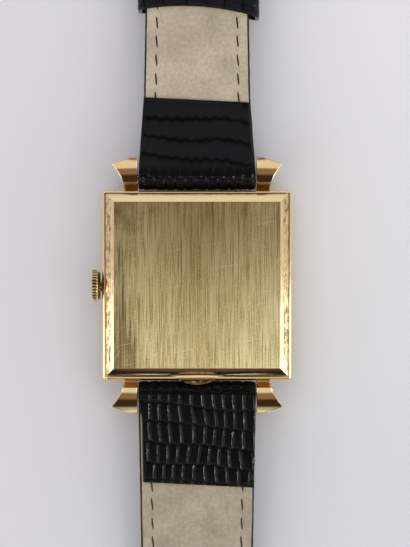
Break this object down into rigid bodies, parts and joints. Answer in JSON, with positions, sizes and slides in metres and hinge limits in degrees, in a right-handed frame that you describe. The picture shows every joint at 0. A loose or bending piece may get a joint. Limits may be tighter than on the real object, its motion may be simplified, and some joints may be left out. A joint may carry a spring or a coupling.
{
  "type": "square wristwatch",
  "caption": "Square gold-plated dress watch on a black leather strap, lying on its crystal with the buckle open; hand-wound movement inside.",
  "frame": {"origin": "middle of the crystal's flat front face, on which the watch lies", "axes": "+Z through the watch towards its case back, +Y towards twelve o'clock along the strap, -X towards the crown"},
  "size_m": [0.0272, 0.21, 0.0073],
  "materials": {
    "polished_gold": "polished gold plate",
    "brushed_gold_back": "gold plate brushed in one direction, worn",
    "crystal": "clear acrylic",
    "dial_silver": "silvered, satin",
    "blued_steel": "blued, polished",
    "brass": "satin brass",
    "gilt_brass": "gilt, fine grained",
    "ruby": "synthetic ruby, polished",
    "spring_steel": "satin steel",
    "steel": "polished steel",
    "black_leather": "glossy grained black leather",
    "strap_edge": "painted black leather edge",
    "nubuck_lining": "beige nubuck, matt"
  },
  "bodies": {
    "case": {"case_band": "polished_gold", "bezel": "polished_gold", "crystal": "crystal", "crown_tube": "polished_gold", "dial": "dial_silver", "dial_markers": "polished_gold", "movement_ring": "brass", "mainplate": "gilt_brass", "barrel_bridge": "gilt_brass", "train_bridge": "gilt_brass", "balance_cock": "gilt_brass", "pallet_bridge": "gilt_brass", "jewels": "ruby", "bridge_screws": "blued_steel", "spring_bar_tube_12": "steel", "spring_bar_tube_6": "steel"},
    "caseback": {"caseback": "brushed_gold_back"},
    "sliding_pinion": {"sliding_pinion": "steel"},
    "crown_and_stem": {"crown": "polished_gold", "winding_stem": "steel"},
    "winding_pinion": {"winding_pinion": "steel"},
    "crown_wheel": {"crown_wheel": "steel"},
    "ratchet": {"ratchet_wheel": "steel", "barrel_arbor": "steel"},
    "click": {"click": "steel"},
    "barrel": {"barrel": "brass", "mainspring": "spring_steel"},
    "centre_wheel": {"centre_wheel": "brass"},
    "third_wheel": {"third_wheel": "brass"},
    "fourth_wheel": {"fourth_wheel": "brass", "seconds_hand": "blued_steel"},
    "escape_wheel": {"escape_wheel": "steel"},
    "pallet_fork": {"pallet_fork": "steel"},
    "balance": {"balance_wheel": "brass", "hairspring": "blued_steel"},
    "minute_hand": {"cannon_pinion": "steel", "minute_hand": "polished_gold"},
    "minute_wheel": {"minute_wheel": "brass"},
    "hour_hand": {"hour_wheel": "brass", "hour_hand": "polished_gold"},
    "setting_wheel": {"setting_wheel": "steel"},
    "tip_12_crown_side": {"spring_bar_tip_12_crown_side": "steel"},
    "tip_12_far_side": {"spring_bar_tip_12_far_side": "steel"},
    "tip_6_crown_side": {"spring_bar_tip_6_crown_side": "steel"},
    "tip_6_far_side": {"spring_bar_tip_6_far_side": "steel"},
    "strap_12": {"strap_12_leather": "black_leather", "strap_12_filler": "strap_edge", "strap_12_lining": "nubuck_lining", "fixed_keeper": "black_leather"},
    "strap_6": {"strap_6_leather": "black_leather", "strap_6_filler": "strap_edge", "strap_6_lining": "nubuck_lining"},
    "free_keeper": {"free_keeper": "black_leather"},
    "buckle": {"buckle_frame": "polished_gold", "buckle_pin": "steel"},
    "buckle_tongue": {"buckle_tongue": "polished_gold"}
  },
  "joints": [
    {"name": "caseback_lift", "type": "slide", "parent": "case", "child": "caseback", "axis": [0, 0, 1], "range_m": [0, 0.012]},
    {"name": "crown_turn", "type": "hinge", "parent": "case", "child": "sliding_pinion", "pos_m": [-0.013, 0, 0.0045], "axis": [1, 0, 0], "continuous": true},
    {"name": "crown_pull", "type": "slide", "parent": "sliding_pinion", "child": "crown_and_stem", "axis": [-1, 0, 0], "range_m": [0, 0.0008]},
    {"name": "winding_pinion_turn", "type": "hinge", "parent": "case", "child": "winding_pinion", "pos_m": [-0.013, 0, 0.0045], "axis": [1, 0, 0], "continuous": true},
    {"name": "crown_wheel_turn", "type": "hinge", "parent": "case", "child": "crown_wheel", "pos_m": [-0.005, 0.0012, 0.0042], "axis": [0, 0, 1], "continuous": true},
    {"name": "ratchet_turn", "type": "hinge", "parent": "case", "child": "ratchet", "pos_m": [-0.00126, 0.00469, 0.0042], "axis": [0, 0, 1], "continuous": true},
    {"name": "click_turn", "type": "hinge", "parent": "case", "child": "click", "pos_m": [-0.00363, 0.00782, 0.0042], "axis": [0, 0, 1], "range_deg": [-9, 0]},
    {"name": "seconds_turn", "type": "hinge", "parent": "case", "child": "fourth_wheel", "pos_m": [0, -0.0052, 0.0042], "axis": [0, 0, 1], "continuous": true},
    {"name": "barrel_turn", "type": "hinge", "parent": "case", "child": "barrel", "pos_m": [-0.00126, 0.00469, 0.0042], "axis": [0, 0, 1], "continuous": true},
    {"name": "centre_turn", "type": "hinge", "parent": "case", "child": "centre_wheel", "pos_m": [0, 0, 0.0042], "axis": [0, 0, 1], "continuous": true},
    {"name": "third_turn", "type": "hinge", "parent": "case", "child": "third_wheel", "pos_m": [-0.00234, -0.00297, 0.0042], "axis": [0, 0, 1], "continuous": true},
    {"name": "escape_turn", "type": "hinge", "parent": "case", "child": "escape_wheel", "pos_m": [0.00274, -0.00578, 0.0042], "axis": [0, 0, 1], "continuous": true},
    {"name": "minute_turn", "type": "hinge", "parent": "case", "child": "minute_hand", "pos_m": [0, 0, 0.0042], "axis": [0, 0, 1], "continuous": true},
    {"name": "minute_wheel_turn", "type": "hinge", "parent": "case", "child": "minute_wheel", "pos_m": [-0.002, 0, 0.0042], "axis": [0, 0, 1], "continuous": true},
    {"name": "hour_turn", "type": "hinge", "parent": "case", "child": "hour_hand", "pos_m": [0, 0, 0.0042], "axis": [0, 0, 1], "continuous": true},
    {"name": "setting_wheel_turn", "type": "hinge", "parent": "case", "child": "setting_wheel", "pos_m": [-0.0044, 0, 0.0042], "axis": [0, 0, 1], "continuous": true},
    {"name": "pallet_fork_swing", "type": "hinge", "parent": "case", "child": "pallet_fork", "pos_m": [0.00389, -0.00408, 0.0042], "axis": [0, 0, 1], "range_deg": [-5, 5]},
    {"name": "balance_swing", "type": "hinge", "parent": "case", "child": "balance", "pos_m": [0.00509, -0.0023, 0.0042], "axis": [0, 0, 1], "range_deg": [-270, 270], "stiffness_Nm_per_rad": 0.0000001, "deforming": ["hairspring"]},
    {"name": "strap_12_swing", "type": "hinge", "parent": "case", "child": "strap_12", "pos_m": [0, 0.01475, 0.0049], "axis": [1, 0, 0], "range_deg": [-60, 80]},
    {"name": "strap_6_swing", "type": "hinge", "parent": "case", "child": "strap_6", "pos_m": [0, -0.01475, 0.0049], "axis": [-1, 0, 0], "range_deg": [-60, 80]},
    {"name": "free_keeper_slide", "type": "slide", "parent": "strap_12", "child": "free_keeper", "axis": [0, 0.9997, -0.0235], "range_m": [-0.0118, 0.026]},
    {"name": "buckle_swing", "type": "hinge", "parent": "strap_12", "child": "buckle", "pos_m": [0, 0.08275, 0.0033], "axis": [1, 0, 0], "range_deg": [-45, 60]},
    {"name": "tongue_swing", "type": "hinge", "parent": "buckle", "child": "buckle_tongue", "pos_m": [0, 0.08275, 0.0033], "axis": [1, 0, 0], "range_deg": [-90, 0]},
    {"name": "tip_12_crown_side_press", "type": "slide", "parent": "case", "child": "tip_12_crown_side", "axis": [1, 0, 0], "range_m": [0, 0.00085], "stiffness_N_per_m": 100},
    {"name": "tip_12_far_side_press", "type": "slide", "parent": "case", "child": "tip_12_far_side", "axis": [-1, 0, 0], "range_m": [0, 0.00085], "stiffness_N_per_m": 100},
    {"name": "tip_6_crown_side_press", "type": "slide", "parent": "case", "child": "tip_6_crown_side", "axis": [1, 0, 0], "range_m": [0, 0.00085], "stiffness_N_per_m": 100},
    {"name": "tip_6_far_side_press", "type": "slide", "parent": "case", "child": "tip_6_far_side", "axis": [-1, 0, 0], "range_m": [0, 0.00085], "stiffness_N_per_m": 100}
  ],
  "couplings": [
    {"joint": "third_turn", "follows": "seconds_turn", "ratio": -0.13333},
    {"joint": "centre_turn", "follows": "seconds_turn", "ratio": 0.016667},
    {"joint": "barrel_turn", "follows": "seconds_turn", "ratio": -0.0020833},
    {"joint": "escape_turn", "follows": "seconds_turn", "ratio": -10},
    {"joint": "minute_turn", "follows": "seconds_turn", "ratio": 0.016667},
    {"joint": "minute_wheel_turn", "follows": "seconds_turn", "ratio": -0.0055556},
    {"joint": "hour_turn", "follows": "seconds_turn", "ratio": 0.0013889},
    {"joint": "setting_wheel_turn", "follows": "seconds_turn", "ratio": 0.0092593},
    {"joint": "winding_pinion_turn", "follows": "crown_turn", "ratio": 1},
    {"joint": "crown_wheel_turn", "follows": "crown_turn", "ratio": 0.54167},
    {"joint": "ratchet_turn", "follows": "crown_turn", "ratio": -0.325}
  ]
}
